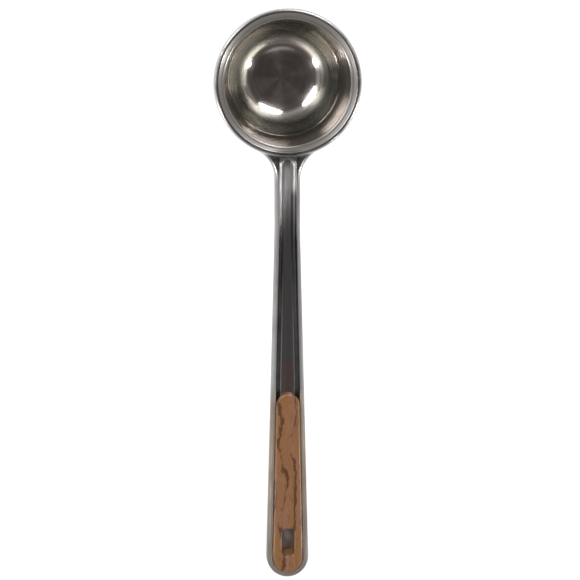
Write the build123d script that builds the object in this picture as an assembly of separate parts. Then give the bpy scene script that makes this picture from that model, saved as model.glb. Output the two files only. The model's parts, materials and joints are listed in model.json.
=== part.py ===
from build123d import *
from math import asin, atan2, cos, degrees, hypot, sin, tan
import os

# Soup ladle. Bowl and handle are one steel pressing whose free edge is turned down all round.
# A wood-grain inlay lies in the groove of the handle and is held by two screws from the back.
# Modelling frame: the handle's face is the plane Z = 0, the bowl's axis is Z, the handle runs along -Y.
# The finished pieces are tipped so that the ladle lies on its bowl and on the end of its handle.
# Distances along the handle are measured from the bowl's axis.

# Overall sizes
rim_diameter = 90.0
overall_length = 350.0
bowl_depth = 44.0
rim_rise = 0.8
sheet = 1.2
tightest_radius = 0.2

# Rim bead and the small step inside it: widths from the rim's outside, drops from its crest
bead_outer_radius = 1.7
bead_crest_width = 2.7
bead_crest_radius = 0.8
bead_slope_width = 4.7
bead_slope_drop = 1.15
bead_slope_radius = 1.0
bead_foot_width = 5.4
bead_foot_drop = 2.3
bead_foot_radius = 0.6
step_width = 6.6
step_drop = 2.7
step_radius = 1.2
rim_lip_height = 4.4

# Bowl wall
wall_bend_width = 10.4
wall_bend_drop = 26.0
wall_bend_radius = 8.0
floor_corner_diameter = 49.2
floor_fillet_radius = 17.0

# Handle, measured over its turned-down edges
neck_width = 15.0
neck_fillet_radius = 20.0
waist_distance = 88.0
end_width = 25.4
handle_edge_radius = 2.1
neck_skirt_height = 9.5
handle_skirt_height = 7.6
skirt_blend_radius = 40.0
neck_skirt_start = 30.0
neck_skirt_full = 47.0
neck_skirt_end = 110.0

# Groove in the face of the handle: deepest in the neck, even along the grip
groove_start_distance = 45.4
groove_start_depth = 2.2
neck_groove_distance = 80.0
neck_groove_depth = 5.0
even_groove_distance = 140.0
groove_depth = 2.6
groove_bend_radius = 250.0
groove_edge_radius = 0.35
groove_floor_radius = 1.8
neck_shoulder_width = 2.5
end_shoulder_width = 3.0
skirt_root_radius = 0.6

# Grip inlay, its length measured from the handle's end
grip_length = 115.0
inlay_side_clearance = 0.15
inlay_crown_height = 1.8
inlay_crown_radius = 32.0
inlay_edge_radius = 1.5
inlay_heel_radius = 1.8

# Hanging slot through inlay and steel
slot_width = 7.6
slot_mouth_length = 18.2
slot_length = 13.4
slot_end_border = 12.6
slot_corner_radius = 2.8
slot_lip_radius = 0.8
collar_wall = 0.9
collar_clearance = 0.15
collar_reach = 0.6

# Screws from the back, set back from the handle's end
screw_setbacks = (51.0, 89.0)
screw_shank_diameter = 2.2
screw_grip = 2.6
screw_tip_chamfer = 0.5
screw_head_diameter = 4.4
screw_head_height = 1.5
screw_head_radius = 0.7
screw_hole_clearance = 0.3
pilot_clearance = 0.05
recess_length = 2.6
recess_width = 0.6
recess_depth = 0.9

# One overrun for every cut, and the cosine above which a face counts as level or an edge as across
overrun = 5.0
level_share = 0.9

# Places that follow from the sizes above
rim_radius = rim_diameter / 2
handle_end = rim_radius - overall_length
end_radius = end_width / 2
end_centre = handle_end + end_radius
crest_radius = rim_radius - (bead_outer_radius + bead_crest_width) / 2
deepest_skirt = max(rim_lip_height, neck_skirt_height, handle_skirt_height)
groove_back = -groove_depth - sheet
groove_neck_radius = neck_width / 2 - neck_shoulder_width
groove_end_radius = end_radius - end_shoulder_width
groove_start_centre = -groove_start_distance - groove_neck_radius
inlay_nose = handle_end + grip_length
slot_start = handle_end + slot_end_border + slot_mouth_length
steel_slot_outset = collar_wall + collar_clearance


def bowl_corners(distance):
    """Corners of the bowl's face from its axis out to the crest, moved distance to the outside."""
    corners = [
        (0, -bowl_depth),
        (floor_corner_diameter / 2, -bowl_depth),
        (rim_radius - wall_bend_width, -wall_bend_drop),
        (rim_radius - step_width, -step_drop),
        (rim_radius - bead_foot_width, -bead_foot_drop),
        (rim_radius - bead_slope_width, -bead_slope_drop),
        (rim_radius - bead_crest_width, 0),
        (crest_radius, 0),
    ]
    slopes = [atan2(b[1] - a[1], b[0] - a[0]) for a, b in zip(corners, corners[1:])]
    moved = []
    for (x, z), before, after in zip(corners, slopes[:1] + slopes, slopes + slopes[-1:]):
        heading = (before + after) / 2
        reach = distance / cos((after - before) / 2)
        moved.append((x + reach * sin(heading), z - reach * cos(heading)))
    return moved


def bowl_radii(distance):
    """Radii at those corners: hollow ones grow with the distance, raised ones shrink."""
    return [
        floor_fillet_radius + distance,
        wall_bend_radius + distance,
        max(step_radius - distance, tightest_radius),
        bead_foot_radius + distance,
        max(bead_slope_radius - distance, tightest_radius),
        max(bead_crest_radius - distance, tightest_radius),
    ]


def bowl_plug(distance, top):
    """Solid of revolution inside the bowl's face, moved distance to the outside, under a flat top."""
    wall = FilletPolyline(*bowl_corners(distance), radius=bowl_radii(distance))
    lid = Polyline(wall @ 1, (crest_radius, top), (0, top), wall @ 0)
    return revolve(Plane.XZ * make_face(wall.edges() + lid.edges()), Axis.Z)


def tapered_slot(start, start_radius, finish, finish_radius):
    """Flat outline along Y with two round ends of different radius."""
    lean = asin((finish_radius - start_radius) / (start - finish))
    near_half, near = start_radius * cos(lean), start + start_radius * sin(lean)
    far_half, far = finish_radius * cos(lean), finish + finish_radius * sin(lean)
    outline = [
        Line((near_half, near), (far_half, far)),
        ThreePointArc((far_half, far), (0, finish - finish_radius), (-far_half, far)),
        Line((-far_half, far), (-near_half, near)),
        ThreePointArc((-near_half, near), (0, start + start_radius), (near_half, near)),
    ]
    return make_face(outline)


def edge_outline(inset):
    """Outline of rim, neck and handle, drawn in by inset all round."""
    half_neck = neck_width / 2 - inset
    strip = Pos(0, -waist_distance / 2) * Rectangle(2 * half_neck, waist_distance)
    taper = tapered_slot(-waist_distance, half_neck, end_centre, end_radius - inset)
    outline = Circle(rim_radius - inset) + strip + taper
    waist_side = -(rim_radius + waist_distance) / 2
    corners = outline.vertices().filter_by(lambda v: waist_side < v.Y < -rim_radius / 2)
    return fillet(corners, neck_fillet_radius + inset)


def groove_outline():
    """Outline of the groove: straight along the neck, then wider with the handle."""
    straight = tapered_slot(groove_start_centre, groove_neck_radius, -waist_distance, groove_neck_radius)
    return straight + tapered_slot(-waist_distance, groove_neck_radius, end_centre, groove_end_radius)


def groove_radius_at(place):
    """Half the groove's width at a place beyond the waist."""
    share = (place + waist_distance) / (end_centre + waist_distance)
    return groove_neck_radius + (groove_end_radius - groove_neck_radius) * share


def slot_outline(length, outset):
    """Rounded oblong of the hanging slot, which runs from slot_start towards the handle's end."""
    corner_radius = slot_corner_radius + outset
    oblong = RectangleRounded(slot_width + 2 * outset, length + 2 * outset, corner_radius)
    return Pos(0, slot_start - length / 2) * oblong


def skirt_silhouette():
    """Side view that trims the turned-down edge: deepest at the neck, shallow round the rim."""
    trim = FilletPolyline(
        (rim_radius + overrun, -rim_lip_height),
        (-neck_skirt_start, -rim_lip_height),
        (-neck_skirt_full, -neck_skirt_height),
        (-neck_skirt_end, -handle_skirt_height),
        (handle_end - overrun, -handle_skirt_height),
        radius=skirt_blend_radius,
    )
    top = Polyline(trim @ 1, (handle_end - overrun, overrun), (rim_radius + overrun, overrun), trim @ 0)
    side = make_face(trim.edges() + top.edges())
    return extrude(Plane.YZ * side, rim_diameter, both=True)


def round_top(solid, radius):
    """Rounds the edges of the topmost face."""
    return fillet(solid.faces().sort_by(Axis.Z)[-1].edges(), radius)


def turned_down_plate():
    """Rim and handle with the edge turned down all round, open underneath."""
    rim = Pos(0, 0, rim_rise) * round_top(extrude(Circle(rim_radius), -deepest_skirt), bead_outer_radius)
    block = rim + round_top(extrude(edge_outline(0), -deepest_skirt), handle_edge_radius)
    room_depth = deepest_skirt + overrun
    rim_room = extrude(Circle(rim_radius - sheet), -room_depth)
    rim_room = round_top(rim_room, max(bead_outer_radius - sheet, tightest_radius))
    handle_room = extrude(edge_outline(sheet), -room_depth) & groove_silhouette(sheet, -2 * room_depth)
    handle_room = round_floor(handle_room, skirt_root_radius)
    plate = block & skirt_silhouette()
    plate -= Pos(0, 0, rim_rise - sheet) * rim_room
    plate -= handle_room
    return plate - extrude(Circle(crest_radius), room_depth, both=True)


def groove_silhouette(drop, limit):
    """Side view between the groove's floor, lowered by drop, and the level limit."""
    floor = FilletPolyline(
        (rim_radius + overrun, -groove_start_depth - drop),
        (-groove_start_distance, -groove_start_depth - drop),
        (-neck_groove_distance, -neck_groove_depth - drop),
        (-even_groove_distance, -groove_depth - drop),
        (handle_end - overrun, -groove_depth - drop),
        radius=groove_bend_radius,
    )
    rest = Polyline(floor @ 1, (handle_end - overrun, limit), (rim_radius + overrun, limit), floor @ 0)
    side = make_face(floor.edges() + rest.edges())
    return extrude(Plane.YZ * side, rim_diameter, both=True)


def is_floor(face):
    """Whether a face of a cutting solid makes part of the groove's floor or of its back."""
    deepest = -neck_groove_depth - sheet - tightest_radius
    return deepest < face.center().Z < 0 and abs(face.normal_at().Z) > level_share


def lies_across(edge):
    """Whether an edge runs straight across the handle, between two stretches of the floor."""
    return edge.geom_type == GeomType.LINE and abs(edge.tangent_at(0).X) > level_share


def round_floor(solid, radius):
    """Rounds the edges between the floor of a cutting solid and its walls."""
    edges = [edge for face in solid.faces() if is_floor(face) for edge in face.edges()]
    return fillet([edge for edge in edges if not lies_across(edge)], radius)


def groove_cut():
    """Space of the groove above its floor."""
    cut = extrude(groove_outline(), neck_skirt_height, both=True)
    return round_floor(cut & groove_silhouette(0, overrun), groove_floor_radius)


def screw_places():
    """Where the screws stand on the back of the groove's floor."""
    return Locations(*[(0, handle_end + setback, groove_back) for setback in screw_setbacks])


def ladle_body():
    """The steel pressing: bowl, neck and handle in one."""
    bowl = Pos(0, 0, rim_rise) * (bowl_plug(sheet, 0) - bowl_plug(0, overrun))
    body = turned_down_plate() + bowl
    body -= groove_cut()
    groove_edges = body.edges().filter_by_position(Axis.Z, -tightest_radius / 2, tightest_radius / 2)
    groove_edges = groove_edges.filter_by(lambda e: e.center().Y < -groove_start_distance)
    body = fillet(groove_edges, groove_edge_radius)
    body -= extrude(slot_outline(slot_length, steel_slot_outset), -deepest_skirt)
    hole = Cylinder(screw_shank_diameter / 2 + screw_hole_clearance, overrun)
    body -= screw_places() * hole
    return body


def inlay_outline():
    """Outline of the inlay, a clearance inside the groove."""
    nose_centre = inlay_nose - groove_radius_at(inlay_nose)
    nose_radius = groove_radius_at(nose_centre) - inlay_side_clearance
    return tapered_slot(nose_centre, nose_radius, end_centre, groove_end_radius - inlay_side_clearance)


def slot_lip(inlay):
    """Edges of the inlay round the upper mouth of the slot."""
    mouth_end = slot_start - slot_mouth_length - tightest_radius
    edges = inlay.edges().filter_by(lambda e: mouth_end < e.center().Y < slot_start + tightest_radius)
    return edges.filter_by(lambda e: abs(e.center().X) < slot_width and e.center().Z > 0)


def grip_inlay():
    """Crowned wood-grain inlay with a ramped slot mouth and a collar through the steel."""
    thickness = groove_depth + inlay_crown_height
    inlay = Pos(0, 0, -groove_depth) * extrude(inlay_outline(), thickness)
    crown = Rot(90, 0, 0) * Cylinder(inlay_crown_radius, 2 * overall_length)
    inlay &= Pos(0, 0, inlay_crown_height - inlay_crown_radius) * crown
    inlay = fillet(inlay.faces().sort_by(Axis.Z)[-1].edges(), inlay_edge_radius)
    inlay = fillet(inlay.faces().sort_by(Axis.Z)[0].edges(), inlay_heel_radius)
    collar_height = sheet + collar_reach
    inlay += Pos(0, 0, -groove_depth) * extrude(slot_outline(slot_length, collar_wall), -collar_height)
    ramp = loft(
        [
            Pos(0, 0, -groove_depth) * slot_outline(slot_length, 0),
            Pos(0, 0, inlay_crown_height) * slot_outline(slot_mouth_length, 0),
        ]
    )
    inlay -= ramp
    inlay -= extrude(slot_outline(slot_length, 0), deepest_skirt, both=True)
    inlay = fillet(slot_lip(inlay), slot_lip_radius)
    pilot = Cylinder(
        screw_shank_diameter / 2 + pilot_clearance,
        sheet + screw_grip,
        align=(Align.CENTER, Align.CENTER, Align.MIN),
    )
    return inlay - screw_places() * pilot


def screw():
    """Pan-head screw with a cross recess, standing on the plane under its head."""
    on_top = (Align.CENTER, Align.CENTER, Align.MIN)
    below = (Align.CENTER, Align.CENTER, Align.MAX)
    head = Cylinder(screw_head_diameter / 2, screw_head_height, align=below)
    head = fillet(head.edges().sort_by(Axis.Z)[0], screw_head_radius)
    arm = Pos(0, 0, -screw_head_height) * Box(recess_length, recess_width, 2 * recess_depth)
    head -= arm
    head -= Rot(0, 0, 90) * arm
    shank = Cylinder(screw_shank_diameter / 2, sheet + screw_grip, align=on_top)
    shank = chamfer(shank.edges().sort_by(Axis.Z)[-1], screw_tip_chamfer)
    return head + shank


def resting_tilt():
    """Angle in degrees that brings the bowl and the handle's end onto one table."""
    floor_corner, wall_corner = bowl_corners(0)[1:3]
    wall_slope = atan2(wall_corner[1] - floor_corner[1], wall_corner[0] - floor_corner[0])
    heel_radius = floor_fillet_radius + sheet
    heel_distance = floor_corner[0] - floor_fillet_radius * tan(wall_slope / 2)
    heel_height = rim_rise + floor_fillet_radius - bowl_depth
    along = -handle_end - heel_distance
    down = heel_height + handle_skirt_height
    return degrees(asin(heel_radius / hypot(along, down)) - atan2(down, along))


def main():
    steel = ladle_body()
    pieces = {
        "ladle_body": steel,
        "grip_inlay": grip_inlay(),
        "inlay_screws": Compound(children=list(screw_places() * screw())),
    }
    tip = Rot(resting_tilt(), 0, 0)
    box = (tip * steel).bounding_box()
    lay = Pos(-box.center().X, -box.center().Y, -box.min.Z) * tip
    os.makedirs("parts", exist_ok=True)
    for name, piece in pieces.items():
        export_step(lay * piece, f"parts/{name}.step")


main()
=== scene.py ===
"""Soup ladle: finishes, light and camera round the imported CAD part. Metres, in the CAD part's frame."""
import json
from math import atan2, cos, pi, radians, sin, tan
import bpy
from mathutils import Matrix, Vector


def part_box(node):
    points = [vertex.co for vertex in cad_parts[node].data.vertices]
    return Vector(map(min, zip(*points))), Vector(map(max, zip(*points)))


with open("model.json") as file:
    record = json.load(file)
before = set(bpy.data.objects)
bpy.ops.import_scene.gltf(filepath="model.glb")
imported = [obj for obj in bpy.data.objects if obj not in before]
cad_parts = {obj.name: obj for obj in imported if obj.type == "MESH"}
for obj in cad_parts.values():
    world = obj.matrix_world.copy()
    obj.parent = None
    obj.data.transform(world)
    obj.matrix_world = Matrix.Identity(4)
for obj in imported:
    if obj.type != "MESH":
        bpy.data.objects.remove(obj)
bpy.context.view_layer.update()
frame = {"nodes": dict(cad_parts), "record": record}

from types import SimpleNamespace

import bpy
from mathutils import Matrix, Vector

# Sizes of the part that the record doesn't state, in metres, with distances from the bowl's axis
bowl_depth = 0.044
sheet = 0.0012
waist_distance = 0.088
grip_start = 0.190
slot_start = 0.272
end_centre_distance = 0.2923
groove_half_widths = (0.0050, 0.0097)
handle_end_height = 0.008

# Photograph: its size, and where two points of the ladle lie in it, in pixels from its upper left corner
photo_size = 580
rim_centre_pixel = (288.2, 83.2)
handle_end_pixel = (288.0, 576.9)

# Camera: height above the floor, turn to the left of straight above, place along the ladle, and how far
# it sees. Its focal length in pixels is sought by halving what lies between two limits.
camera_height = 2.0
camera_left_degrees = 5.5
camera_along = 0.05
camera_sight = 100.0
sensor_width = 36.0
focal_limits = (100.0, 50000.0)
focal_halvings = 60

# Light: two large soft boxes beyond the bowl, a small strong one at each side of the handle and a dim one
# high over the handle's end, as azimuth and elevation in degrees, width, height and radiance
soft_boxes = [
    (60, 50, 0.85, 0.65, 3.8),
    (148, 50, 0.85, 0.65, 3.8),
    (211, 36, 0.22, 0.38, 24.5),
    (335, 32, 0.22, 0.38, 21.5),
    (284, 61, 0.60, 0.24, 0.5),
]
soft_box_distance = 1.6

# Surroundings: azimuth and elevation of the darkest direction, and colour by the cosine of the angle to it
dark_pole = (-65, 77)
room_stops = [
    (-1.0, (1.0, 1.0, 1.0)),
    (0.00, (0.92, 0.92, 0.92)),
    (0.25, (0.72, 0.71, 0.70)),
    (0.48, (0.58, 0.57, 0.56)),
    (0.62, (0.36, 0.35, 0.34)),
    (0.70, (0.19, 0.18, 0.175)),
    (0.79, (0.110, 0.102, 0.100)),
    (0.86, (0.085, 0.077, 0.075)),
    (1.00, (0.075, 0.069, 0.069)),
]

# Steel in the bowl, by distance from its axis: bottom, heel, lower wall, upper wall and bead. Its tones are
# painted reflection: each zone is painted lighter or darker to stand in for how bright its reflections look.
# The last tone goes on along the floor of the handle's groove.
bowl_reach = 0.05
bowl_painted_tones = [
    (0.0000, (0.76, 0.665, 0.63)),
    (0.0175, (0.75, 0.665, 0.63)),
    (0.0200, (0.64, 0.585, 0.55)),
    (0.0245, (0.63, 0.60, 0.56)),
    (0.0285, (0.38, 0.39, 0.353)),
    (0.0335, (0.38, 0.39, 0.353)),
    (0.0350, (0.53, 0.50, 0.45)),
    (0.0385, (0.46, 0.435, 0.40)),
    (0.0397, (0.34, 0.324, 0.311)),
    (0.0418, (0.37, 0.352, 0.339)),
    (0.0425, (0.68, 0.66, 0.645)),
    (0.0436, (0.60, 0.58, 0.565)),
    (0.0450, (0.68, 0.67, 0.665)),
    (0.0465, (0.60, 0.59, 0.59)),
]
bowl_roughness = [
    (0.0190, 0.18),
    (0.0207, 0.10),
    (0.0216, 0.13),
    (0.0228, 0.21),
    (0.0245, 0.27),
    (0.0275, 0.29),
    (0.0330, 0.27),
    (0.0343, 0.10),
    (0.0352, 0.10),
    (0.0368, 0.22),
    (0.0385, 0.22),
    (0.0397, 0.46),
    (0.0418, 0.46),
    (0.0425, 0.16),
    (0.0436, 0.30),
]
outside_tone = (0.54, 0.53, 0.525)
outside_roughness = 0.24

# Steel along the handle, by distance from the bowl's axis: the rolled edges, and the groove's floor and
# sides. The rolled edges' tones are painted reflection: grey by the neck, warm brown beside the inlay and
# darker towards the end.
handle_reach = 0.35
edge_painted_tones = [
    (0.180, (0.420, 0.412, 0.412)),
    (0.200, (0.356, 0.303, 0.251)),
    (0.250, (0.335, 0.284, 0.236)),
    (0.280, (0.262, 0.238, 0.206)),
    (0.300, (0.310, 0.280, 0.250)),
]
floor_roughness = [
    (0.0475, 0.20),
    (0.0535, 0.42),
    (0.0640, 0.43),
    (0.0740, 0.37),
    (0.0850, 0.26),
    (0.0950, 0.16),
    (0.1050, 0.13),
]
side_roughness = [
    (0.070, 0.38),
    (0.088, 0.25),
    (0.100, 0.28),
    (0.130, 0.62),
]
flare_roughness = 0.26
edge_roughness = 0.60
steel_anisotropy = 0.62

# A soft step has the two values that it runs between, and then what it gives at each of them where that
# isn't 0 and 1. The first step goes by how far the steel faces up.
faces_up_step = (-0.04, 0.02)

# Steps by distance from the bowl's axis: onto the handle, out of the flares beside the neck, past the
# waist, and along the inlay, beside which the rolled edges reach further in
handle_step = (0.0435, 0.0470)
flare_step = (0.052, 0.062, flare_roughness, edge_roughness)
waist_step = (waist_distance - 0.008, waist_distance + 0.008)
inlay_side_step = (grip_start - 0.004, grip_start + 0.010, 0.0, 0.0011)

# Steps out from the groove's upper edge: onto the rolled edge, and onto the groove's side from its floor
edge_step = (0.0001, 0.0005)
side_step = (-0.0036, -0.0024)

# Painted light and shade on the rolled edges: along their inner border, darker before the inlay and lighter
# beside it, and from there to their full tone
inner_edge_step = (grip_start - 0.010, grip_start + 0.010, 0.75, 1.7)
full_edge_step = (0.0, 0.0022)

# Shade on the groove's sides: at their foot along the handle, up to their top, and earlier on the right
foot_shade_step = (0.080, 0.115, 0.45, 0.80)
top_side_step = (-0.0013, -0.0007)
top_side_shade = 0.86
right_shade_step = (0.0620, 0.0700, 0.0, 0.68)
right_half_step = (0.0, 0.001)

# Painted shade on the rim over the neck, and a painted brown reflection of the inlay on the groove's floor
# in front of it: out from the middle line, and lengthwise by y
neck_shade_across = (0.003, 0.014, 0.60, 0.0)
neck_shade_starts = (-0.0420, -0.0390, 1.0, 0.0)
neck_shade_ends = (-0.0485, -0.0465)
inlay_reflection_colour = (0.72, 0.56, 0.53)
inlay_reflection_start = 0.173
inlay_reflection_across = (0.0030, 0.0046, 1.0, 0.0)
inlay_reflection_starts = (-inlay_reflection_start, -inlay_reflection_start + 0.004, 1.0, 0.0)

# Polish of the steel: rates of its noises, for one metre or for the unit heading from the bowl's axis, how
# much they darken and roughen the steel, and how high they stand
round_bowl_rates = (1.4, 1.4, 0.0)
across_bowl_rate = 900.0
along_handle_rates = (1100.0, 14.0, 1100.0)
broad_mark_rate = 0.55
fine_mark_rate = 3.1
cloud_rate = 55.0
# The rays are painted shade: dark sectors on the bowl's bottom that stand in for the reflections of its
# polish
ray_rates = (1.15, 1.15, 0.0)
ray_detail = 0.5
broad_mark_shade = (0.35, 0.65, 0.06, 0.0)
cloud_shade = (0.40, 0.75, 0.0, 0.05)
ray_shade = (0.38, 0.60)
ray_share = (0.0165, 0.0195, 0.28, 0.0)
broad_wear_share = 0.6
cloud_wear_share = 0.4
wear_step = (0.30, 0.70, 0.80, 1.25)
broad_mark_height = 0.0000035
fine_mark_height = 0.0000015

# Screws: rates of their noises for one metre, tones and roughness
screw_ring_rates = (300.0, 300.0, 4000.0)
screw_speck_rate = 900.0
screw_speck_step = (0.40, 0.70)
screw_tones = ((0.57, 0.56, 0.55), (0.50, 0.49, 0.48))
screw_roughness = (0.3, 0.7, 0.20, 0.30)

# Wood grain: how far its dark streaks lie apart, how far they wander and fray, their half width and
# edge as shares of the spacing, and the hairlines between them
grain_spacing = 0.0062
grain_wander = 0.016
grain_fraying = 0.0042
streak_width_step = (0.30, 0.58, 0.01, 0.18)
streak_edge_step = (-0.08, 0.01, 1.0, 0.0)
hairline_step = (0.010, 0.030, 0.55, 0.0)
hairline_break_step = (0.40, 0.60)

# Rates of the grain's noises for one metre, and the detail and roughness of fine noises
wander_rates = (60.0, 30.0, 0.0)
fraying_rates = (650.0, 260.0, 0.0)
streak_width_rates = (140.0, 55.0, 0.0)
hairline_rates = (420.0, 34.0, 0.0)
fibre_rates = (1500.0, 60.0, 300.0)
patch_rates = (260.0, 20.0, 0.0)
fine_detail = 3.0
fine_roughness = 0.6

# Wood tones as sRGB, and the steps that lay each of them over the ones before
wood_tone = "8b6336"
patch_tone = "92664c"
dark_fibre_tone = "784a2e"
pale_fibre_tone = "a47b5a"
streak_tone = "4f2a12"
# The slot tone is painted shade on the walls of the hanging slot
slot_shade_tone = "623e08"
patch_step = (0.38, 0.62)
dark_fibre_step = (0.45, 0.75, 0.0, 0.35)
pale_fibre_step = (0.30, 0.45, 0.25, 0.0)
streak_strength = 0.85
# Where the painted slot shade lies: out from the middle line, and down from the inlay's top
slot_half_width_step = (0.0041, 0.0046, 1.0, 0.0)
slot_height_step = (-0.0008, 0.0005, 0.9, 0.0)

# Surface of the inlay: its roughness, its clear coat, full at the front and none on its sides and in the
# slot, and its relief
wood_roughness = (0.3, 0.7, 0.34, 0.48)
front_gloss_step = (-grip_start - 0.006, -grip_start - 0.003, 0.35, 1.0)
side_gloss_step = (0.20, 0.60)
slot_gloss_step = (0.0, 0.9, 1.0, 0.0)
coat_roughness = 0.10
fibre_relief = 0.4
wood_relief_height = 0.00003
wood_relief_strength = 0.6

# Floor: half its width, its plain colour, its colour and own light for the camera and for mirrors, and
# the painted brown contact shade where the ladle hides it
floor_reach = 6.0
floor_colour = (0.80, 0.80, 0.80)
lit_floor_colour = (0.45, 0.45, 0.45)
lit_floor_glow = 0.82
painted_contact_shade_colour = (0.56, 0.43, 0.355)
contact_reach = 0.020
contact_step = (0.30, 0.60)


def bowl_frame():
    """Rim centre and tilt of the bowl, from the flat face under it."""
    bottom = next(mount for mount in frame["record"]["mounts"] if mount["name"] == "bowl_bottom")
    down = Vector(bottom["axis"])
    centre = Vector(bottom["pos_m"]) - down * (bowl_depth + sheet)
    return centre, atan2(down.y, -down.z)


rim_centre, tilt = bowl_frame()
bowl_axis = (0.0, -sin(tilt), cos(tilt))


# Node helpers

def fill(tree, node, inputs):
    """Links a node's inputs to sockets, or sets them to values."""
    for key, value in inputs.items():
        if isinstance(value, bpy.types.NodeSocket):
            tree.links.new(value, node.inputs[key])
        elif node.inputs[key].type == "RGBA":
            node.inputs[key].default_value = (*value, 1.0)
        else:
            node.inputs[key].default_value = value


def make(tree, kind, inputs=None, **settings):
    """New shader node with its settings and inputs."""
    node = tree.nodes.new("ShaderNode" + kind)
    for name, value in settings.items():
        setattr(node, name, value)
    fill(tree, node, inputs or {})
    return node


def maths(tree, operation, value, *others):
    """Numbers joined one after another by one operation."""
    for other in others or (0.0,):
        value = make(tree, "Math", {0: value, 1: other}, operation=operation).outputs[0]
    return value


def vector_maths(tree, operation, a, b=(0.0, 0.0, 0.0), result="Vector"):
    return make(tree, "VectorMath", {0: a, 1: b}, operation=operation).outputs[result]


def scaled(tree, vector, factors):
    return vector_maths(tree, "MULTIPLY", vector, factors)


def length(tree, vector):
    return vector_maths(tree, "LENGTH", vector, result="Value")


def dot(tree, a, b):
    return vector_maths(tree, "DOT_PRODUCT", a, b, "Value")


def join(tree, x, y, z):
    return make(tree, "CombineXYZ", {0: x, 1: y, 2: z}).outputs[0]


def split(tree, vector):
    return make(tree, "SeparateXYZ", {0: vector}).outputs


def surface_normal(tree):
    return make(tree, "NewGeometry").outputs["Normal"]


def bump(tree, inputs):
    """Direction of the surface as a relief turns it."""
    return make(tree, "Bump", inputs).outputs[0]


def between(tree, value, low, high, to_low=0.0, to_high=1.0, course="SMOOTHSTEP"):
    """Value mapped from low..high to to_low..to_high, smoothly or by another course."""
    inputs = {"Value": value, "From Min": low, "From Max": high, "To Min": to_low, "To Max": to_high}
    return make(tree, "MapRange", inputs, interpolation_type=course).outputs[0]


def blend(tree, share, first, second, kind="RGBA"):
    """First where share is 0 and second where it is 1, for colours, vectors or numbers."""
    port, next_port, result = {"RGBA": (6, 7, 2), "VECTOR": (4, 5, 1), "FLOAT": (2, 3, 0)}[kind]
    node = make(tree, "Mix", {0: share}, data_type=kind)
    fill(tree, node, {port: first, next_port: second})
    return node.outputs[result]


def noise(tree, place, rate, detail=2.0, roughness=0.5):
    """Noise over a place, with one rate for all directions or one for each."""
    if isinstance(rate, tuple):
        place = scaled(tree, place, rate)
        rate = 1.0
    inputs = {"Vector": place, "Scale": rate, "Detail": detail, "Roughness": roughness}
    return make(tree, "TexNoise", inputs).outputs["Fac"]


def off_middle(tree, value):
    """How far a value lies above or below a half."""
    return maths(tree, "SUBTRACT", value, 0.5)


def ramp(tree, value, stops):
    """Colour ramp from (place, colour) pairs."""
    node = make(tree, "ValToRGB", {0: value})
    elements = node.color_ramp.elements
    while len(elements) < len(stops):
        elements.new(1.0)
    for element, (place, colour) in zip(elements, stops):
        element.position = place
        element.color = (*colour, 1.0)
    return node.outputs[0]


def tone_at(tree, distance, tones, reach):
    """Colour at a distance, from (distance, colour) pairs."""
    stops = [(place / reach, colour) for place, colour in tones]
    return ramp(tree, maths(tree, "DIVIDE", distance, reach), stops)


def level_at(tree, distance, levels, reach):
    """Number at a distance, from (distance, number) pairs."""
    return tone_at(tree, distance, [(place, (level,) * 3) for place, level in levels], reach)


def srgb(code):
    """Linear colour of an sRGB colour written as six hexadecimal digits."""
    parts = [int(code[i:i + 2], 16) / 255 for i in (0, 2, 4)]
    return tuple(p / 12.92 if p <= 0.04045 else ((p + 0.055) / 1.055) ** 2.4 for p in parts)


def new_material(name):
    material = bpy.data.materials.new(name)
    material.use_nodes = True
    tree = material.node_tree
    return material, tree, tree.nodes["Principled BSDF"]


def ladle_place(tree):
    """Place on the ladle, from the rim's centre, with the bowl's axis as Z and the handle along -Y."""
    place = make(tree, "TexCoord").outputs["Object"]
    inputs = {"Vector": place, "Location": rim_centre, "Rotation": (tilt, 0.0, 0.0)}
    return make(tree, "Mapping", inputs, vector_type="TEXTURE").outputs[0]


# Steel

def outside_groove(tree, x, along):
    """Distance out from the upper edge of the handle's groove, less than 0 inside it."""
    half_width = between(tree, along, waist_distance, end_centre_distance, *groove_half_widths, "LINEAR")
    past_end = maths(tree, "MAXIMUM", maths(tree, "SUBTRACT", along, end_centre_distance), 0.0)
    off_line = length(tree, join(tree, x, past_end, 0.0))
    by_inlay = between(tree, along, *inlay_side_step)
    return maths(tree, "ADD", maths(tree, "SUBTRACT", off_line, half_width), by_inlay)


def steel_zones(tree):
    """Where a point of the steel lies, and its share in each zone."""
    place = ladle_place(tree)
    x, y, z = split(tree, place)
    flat = join(tree, x, y, 0.0)
    radius = length(tree, flat)
    along = maths(tree, "MULTIPLY", y, -1.0)
    outside = outside_groove(tree, x, along)
    on_handle = between(tree, radius, *handle_step)
    on_edge = maths(tree, "MULTIPLY", between(tree, outside, *edge_step), on_handle)
    on_side = maths(tree, "SUBTRACT", between(tree, outside, *side_step), on_edge)
    on_side = maths(tree, "MULTIPLY", maths(tree, "MAXIMUM", on_side, 0.0), on_handle)
    faces_up = between(tree, dot(tree, surface_normal(tree), bowl_axis), *faces_up_step)
    return SimpleNamespace(
        place=place, x=x, y=y, z=z, radius=radius, along=along, outside=outside,
        outward=vector_maths(tree, "NORMALIZE", flat), faces_up=faces_up,
        on_handle=on_handle, on_edge=on_edge, on_side=on_side)


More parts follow.
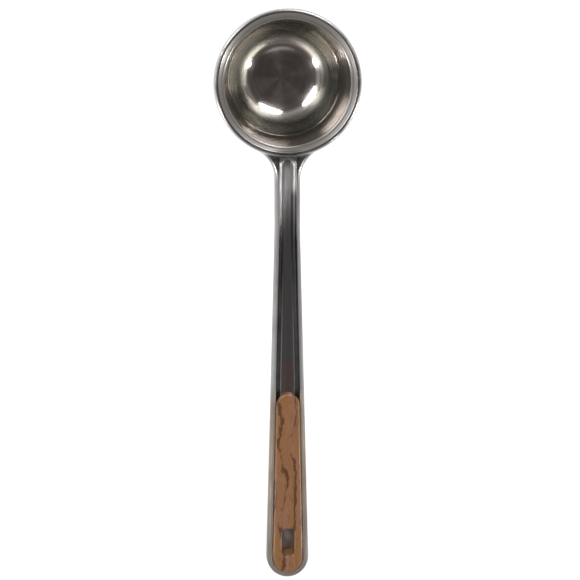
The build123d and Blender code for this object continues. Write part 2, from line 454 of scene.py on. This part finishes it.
def polish_marks(tree, steel):
    """Broad and fine marks, which change fast across the polish and slowly along it."""
    across_bowl = maths(tree, "MULTIPLY", maths(tree, "ADD", steel.radius, steel.z), across_bowl_rate)
    round_bowl = scaled(tree, steel.outward, round_bowl_rates)
    in_bowl = vector_maths(tree, "ADD", round_bowl, join(tree, 0.0, 0.0, across_bowl))
    along_handle = scaled(tree, steel.place, along_handle_rates)
    marks = blend(tree, steel.on_handle, in_bowl, along_handle, "VECTOR")
    return noise(tree, marks, broad_mark_rate), noise(tree, marks, fine_mark_rate)


def side_shade(tree, steel):
    """Share of black on the groove's sides."""
    foot = between(tree, steel.along, *foot_shade_step)
    shade = between(tree, steel.outside, *top_side_step, foot, top_side_shade)
    shade = maths(tree, "MULTIPLY", shade, between(tree, steel.along, *waist_step))
    right = between(tree, steel.along, *right_shade_step)
    right = maths(tree, "MULTIPLY", right, between(tree, steel.x, *right_half_step))
    return maths(tree, "MULTIPLY", steel.on_side, maths(tree, "MAXIMUM", shade, right))


def neck_shade(tree, steel):
    """Share of black on the rim where it passes over the neck."""
    across = between(tree, maths(tree, "ABSOLUTE", steel.x), *neck_shade_across)
    started = between(tree, steel.y, *neck_shade_starts)
    not_ended = between(tree, steel.y, *neck_shade_ends)
    return maths(tree, "MULTIPLY", across, started, not_ended)


def painted_polish_rays(tree, steel):
    """Share of black in the painted rays on the bowl's bottom, which stand in for the reflections of its
    turned polish.
    """
    rays = between(tree, noise(tree, steel.outward, ray_rates, ray_detail), *ray_shade)
    return maths(tree, "MULTIPLY", rays, between(tree, steel.radius, *ray_share))


def painted_inlay_reflection(tree, steel):
    """Share of the faint painted brown reflection of the inlay on the groove's floor in front of the inlay.
    """
    across = between(tree, maths(tree, "ABSOLUTE", steel.x), *inlay_reflection_across)
    return maths(tree, "MULTIPLY", across, between(tree, steel.y, *inlay_reflection_starts))


def painted_edge_tone(tree, steel):
    """Tone of the rolled edges, painted reflection with painted light and shade, which changes towards the
    groove.
    """
    inner_level = between(tree, steel.along, *inner_edge_step)
    level = between(tree, steel.outside, *full_edge_step, inner_level, 1.0)
    return scaled(tree, tone_at(tree, steel.radius, edge_painted_tones, handle_reach), level)


def steel_colour(tree, steel, broad, cloud):
    """Tone of each zone, painted lighter or darker to stand in for its reflections, darkened by the marks
    and the painted shades.
    """
    dark_marks = between(tree, broad, *broad_mark_shade)
    dark_clouds = between(tree, cloud, *cloud_shade)
    # Painted shade on the groove's sides and on the rim over the neck, and painted rays on the bowl's bottom
    shades = (side_shade(tree, steel), neck_shade(tree, steel), painted_polish_rays(tree, steel))
    black_share = maths(tree, "ADD", dark_marks, dark_clouds, *shades)
    inside = maths(tree, "MAXIMUM", steel.faces_up, steel.on_handle)
    # Painted reflection: tones by zone inside the bowl and along the groove's floor
    colour = blend(tree, inside, outside_tone, tone_at(tree, steel.radius, bowl_painted_tones, bowl_reach))
    # Painted reflection of the inlay on the groove's floor
    colour = blend(tree, painted_inlay_reflection(tree, steel), colour, inlay_reflection_colour)
    # Painted reflection, light and shade on the rolled edges
    colour = blend(tree, steel.on_edge, colour, painted_edge_tone(tree, steel))
    return blend(tree, black_share, colour, (0.0, 0.0, 0.0))


def steel_roughness(tree, steel, broad, cloud):
    """Roughness of each zone, made uneven by wear."""
    in_bowl = level_at(tree, steel.radius, bowl_roughness, bowl_reach)
    in_bowl = blend(tree, steel.faces_up, outside_roughness, in_bowl, "FLOAT")
    on_floor = level_at(tree, steel.radius, floor_roughness, handle_reach)
    on_side = level_at(tree, steel.radius, side_roughness, handle_reach)
    on_edge = between(tree, steel.radius, *flare_step)
    polish = blend(tree, steel.on_handle, in_bowl, on_floor, "FLOAT")
    polish = blend(tree, steel.on_side, polish, on_side, "FLOAT")
    polish = blend(tree, steel.on_edge, polish, on_edge, "FLOAT")
    broad_wear = maths(tree, "MULTIPLY", broad, broad_wear_share)
    cloud_wear = maths(tree, "MULTIPLY", cloud, cloud_wear_share)
    wear = between(tree, maths(tree, "ADD", broad_wear, cloud_wear), *wear_step)
    return maths(tree, "MULTIPLY", polish, wear)


def across_polish(tree, steel):
    """Direction across the polish: away from the bowl's axis, and sideways on the handle."""
    x, y, _ = split(tree, steel.outward)
    radial = join(tree, x, maths(tree, "MULTIPLY", y, cos(tilt)), maths(tree, "MULTIPLY", y, sin(tilt)))
    return blend(tree, steel.on_handle, radial, (1.0, 0.0, 0.0), "VECTOR")


def steel_finish():
    """Polished stainless: polish marks run round the bowl and along the handle."""
    material, tree, shader = new_material("polished_steel")
    steel = steel_zones(tree)
    broad, fine = polish_marks(tree, steel)
    cloud = noise(tree, steel.place, cloud_rate, fine_detail)
    relief = bump(tree, {"Height": fine, "Distance": fine_mark_height})
    relief = bump(tree, {"Height": broad, "Distance": broad_mark_height, "Normal": relief})
    fill(tree, shader, {
        "Base Color": steel_colour(tree, steel, broad, cloud),
        "Roughness": steel_roughness(tree, steel, broad, cloud),
        "Metallic": 1.0,
        "Anisotropic": steel_anisotropy,
        "Tangent": across_polish(tree, steel),
        "Normal": relief,
    })
    return material


def screw_finish():
    """Plain turned stainless with fine rings and a few dull specks."""
    material, tree, shader = new_material("screw_steel")
    place = make(tree, "TexCoord").outputs["Object"]
    rings = noise(tree, place, screw_ring_rates)
    specks = between(tree, noise(tree, place, screw_speck_rate, fine_detail), *screw_speck_step)
    fill(tree, shader, {
        "Base Color": blend(tree, specks, *screw_tones),
        "Roughness": between(tree, rings, *screw_roughness),
        "Metallic": 1.0,
    })
    return material


# Inlay

def in_slot(tree, x, y, z):
    """Share of the walls of the hanging slot, where shade is painted on the inlay."""
    side = between(tree, maths(tree, "ABSOLUTE", x), *slot_half_width_step)
    down = between(tree, z, *slot_height_step)
    return maths(tree, "MULTIPLY", side, down, maths(tree, "LESS_THAN", y, -slot_start))


def grain_streaks(tree, place):
    """Share of the grain's dark streaks and hairlines, and the place as it bends with them."""
    x, y, z = split(tree, place)
    drift = off_middle(tree, noise(tree, place, wander_rates))
    fraying = noise(tree, place, fraying_rates, fine_detail, fine_roughness)
    bent_x = maths(tree, "ADD", x, maths(tree, "MULTIPLY", drift, grain_wander))
    bent = join(tree, bent_x, y, z)
    frayed_x = maths(tree, "ADD", bent_x, maths(tree, "MULTIPLY", off_middle(tree, fraying), grain_fraying))
    across = maths(tree, "FRACT", maths(tree, "DIVIDE", frayed_x, grain_spacing))
    off_line = maths(tree, "ABSOLUTE", off_middle(tree, across))
    width = between(tree, noise(tree, bent, streak_width_rates), *streak_width_step)
    streak = between(tree, maths(tree, "SUBTRACT", off_line, width), *streak_edge_step)
    off_hair = maths(tree, "ABSOLUTE", off_middle(tree, noise(tree, bent, hairline_rates)))
    whole = between(tree, fraying, *hairline_break_step)
    hairline = maths(tree, "MULTIPLY", between(tree, off_hair, *hairline_step), whole)
    return maths(tree, "MAXIMUM", streak, hairline), bent


def inlay_gloss(tree, y, walls):
    """Weight of the inlay's clear coat."""
    sideways = maths(tree, "ABSOLUTE", split(tree, surface_normal(tree))[0])
    gloss = between(tree, sideways, *side_gloss_step, between(tree, y, *front_gloss_step), 0.0)
    return maths(tree, "MULTIPLY", gloss, between(tree, walls, *slot_gloss_step))


def inlay_finish():
    """Moulded plastic with a printed wood grain: long wavy dark streaks on warm brown, and painted shade on
    the walls of the hanging slot.
    """
    material, tree, shader = new_material("inlay_wood_grain")
    place = ladle_place(tree)
    x, y, z = split(tree, place)
    streak, bent = grain_streaks(tree, place)
    fibre = noise(tree, bent, fibre_rates, fine_detail, fine_roughness)
    walls = in_slot(tree, x, y, z)
    layers = [
        (between(tree, noise(tree, bent, patch_rates), *patch_step), patch_tone),
        (between(tree, fibre, *dark_fibre_step), dark_fibre_tone),
        (between(tree, fibre, *pale_fibre_step), pale_fibre_tone),
        (maths(tree, "MULTIPLY", streak, streak_strength), streak_tone),
        # Painted shade on the walls of the slot
        (walls, slot_shade_tone),
    ]
    colour = srgb(wood_tone)
    for share, tone in layers:
        colour = blend(tree, share, colour, srgb(tone))
    height = maths(tree, "SUBTRACT", maths(tree, "MULTIPLY", fibre, fibre_relief), streak)
    relief = bump(tree, {"Height": height, "Distance": wood_relief_height, "Strength": wood_relief_strength})
    fill(tree, shader, {
        "Base Color": colour,
        "Roughness": between(tree, fibre, *wood_roughness),
        "Coat Weight": inlay_gloss(tree, y, walls),
        "Coat Roughness": coat_roughness,
        "Normal": relief,
    })
    return material


def dress(node, material):
    """Gives a CAD node its finish."""
    mesh = frame["nodes"][node].data
    mesh.materials.clear()
    mesh.materials.append(material)


dress("ladle_body", steel_finish())
dress("inlay_screws", screw_finish())
dress("grip_inlay", inlay_finish())


# Stage

def floor_finish():
    """Plain for the light on the ladle, and lit for the camera and for mirrors save close to the ladle,
    where painted brown contact shade takes over.
    """
    material, tree, shader = new_material("pale_floor")
    tree.nodes.remove(shader)
    rays = make(tree, "LightPath").outputs
    seen = maths(tree, "MAXIMUM", rays["Is Camera Ray"], rays["Is Glossy Ray"], rays["Is Transmission Ray"])
    plain = make(tree, "BsdfDiffuse", {"Color": floor_colour}).outputs[0]
    # Painted contact shade: where the ladle hides the floor, its glow fades and its colour turns brown
    closeness = make(tree, "AmbientOcclusion", {"Distance": contact_reach}).outputs["AO"]
    open_sky = between(tree, closeness, *contact_step)
    tint = blend(tree, open_sky, painted_contact_shade_colour, lit_floor_colour)
    shaded = make(tree, "BsdfDiffuse", {"Color": tint}).outputs[0]
    glow_strength = maths(tree, "MULTIPLY", open_sky, lit_floor_glow)
    glow = make(tree, "Emission", {"Strength": glow_strength}).outputs[0]
    lit = make(tree, "AddShader", {0: shaded, 1: glow}).outputs[0]
    mixed = make(tree, "MixShader", {0: seen, 1: plain, 2: lit}).outputs[0]
    fill(tree, tree.nodes["Material Output"], {"Surface": mixed})
    return material


def add_floor():
    """Pale floor that stays white for the camera and in the steel, and keeps the ladle's shadow, with
    painted contact shade close to it.
    """
    reach = floor_reach
    corners = [(-reach, -reach, 0), (reach, -reach, 0), (reach, reach, 0), (-reach, reach, 0)]
    mesh = bpy.data.meshes.new("floor")
    mesh.from_pydata(corners, [], [(0, 1, 2, 3)])
    mesh.materials.append(floor_finish())
    floor = bpy.data.objects.new("floor", mesh)
    bpy.context.scene.collection.objects.link(floor)


def heading(azimuth, elevation):
    """Unit vector of a direction given in degrees."""
    turn, lift = radians(azimuth), radians(elevation)
    return Vector((cos(turn) * cos(lift), sin(turn) * cos(lift), sin(lift)))


def add_room():
    """Surroundings: pale low down and dark overhead, darkest a little towards the handle's end."""
    world = bpy.data.worlds.new("room")
    bpy.context.scene.world = world
    world.use_nodes = True
    tree = world.node_tree
    way = make(tree, "TexCoord").outputs["Generated"]
    share = between(tree, dot(tree, way, heading(*dark_pole)), -1.0, 1.0, course="LINEAR")
    stops = [((cosine + 1) / 2, colour) for cosine, colour in room_stops]
    fill(tree, tree.nodes["Background"], {"Color": ramp(tree, share, stops)})


def add_soft_boxes():
    """Round and oval lights that face the ladle."""
    for azimuth, elevation, width, height, radiance in soft_boxes:
        light = bpy.data.lights.new("soft_box", "AREA")
        light.shape = "ELLIPSE"
        light.size = width
        light.size_y = height
        light.energy = radiance * width * height * pi
        box = bpy.data.objects.new("soft_box", light)
        bpy.context.scene.collection.objects.link(box)
        way = heading(azimuth, elevation)
        box.location = way * soft_box_distance
        box.rotation_euler = way.to_track_quat("Z", "Y").to_euler()
        box.visible_camera = False


def axes_from(first, second):
    """Rotation whose X lies along first and whose Z stands on the plane of first and second."""
    x = first.normalized()
    z = first.cross(second).normalized()
    return Matrix((x, z.cross(x), z)).transposed()


def pixel_ray(pixel, focal):
    """Ray of the camera through a pixel of the photograph, for a focal length in pixels."""
    return Vector((pixel[0] - photo_size / 2, photo_size / 2 - pixel[1], -focal))


def focal_length(angle):
    """Focal length in pixels at which rim centre and handle end are seen an angle apart."""
    near, far = focal_limits
    for _ in range(focal_halvings):
        focal = (near + far) / 2
        if pixel_ray(rim_centre_pixel, focal).angle(pixel_ray(handle_end_pixel, focal)) > angle:
            near = focal
        else:
            far = focal
    return focal


def add_camera():
    """Camera over the ladle, aimed so that rim centre and handle end fall on their pixels."""
    camera_side = -camera_height * tan(radians(camera_left_degrees))
    place = Vector((camera_side, camera_along, camera_height))
    low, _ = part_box("ladle_body")
    to_rim = rim_centre - place
    to_end = Vector((0.0, low.y, handle_end_height)) - place
    focal = focal_length(to_rim.angle(to_end))
    seen_axes = axes_from(pixel_ray(rim_centre_pixel, focal), pixel_ray(handle_end_pixel, focal))
    turn = axes_from(to_rim, to_end) @ seen_axes.inverted()
    camera = bpy.data.objects.new("camera", bpy.data.cameras.new("camera"))
    bpy.context.scene.collection.objects.link(camera)
    camera.matrix_world = Matrix.Translation(place) @ turn.to_4x4()
    camera.data.sensor_width = sensor_width
    camera.data.lens = focal * sensor_width / photo_size
    camera.data.clip_end = camera_sight
    bpy.context.scene.camera = camera


add_floor()
add_room()
add_soft_boxes()
add_camera()
bpy.context.scene.view_settings.view_transform = "Standard"
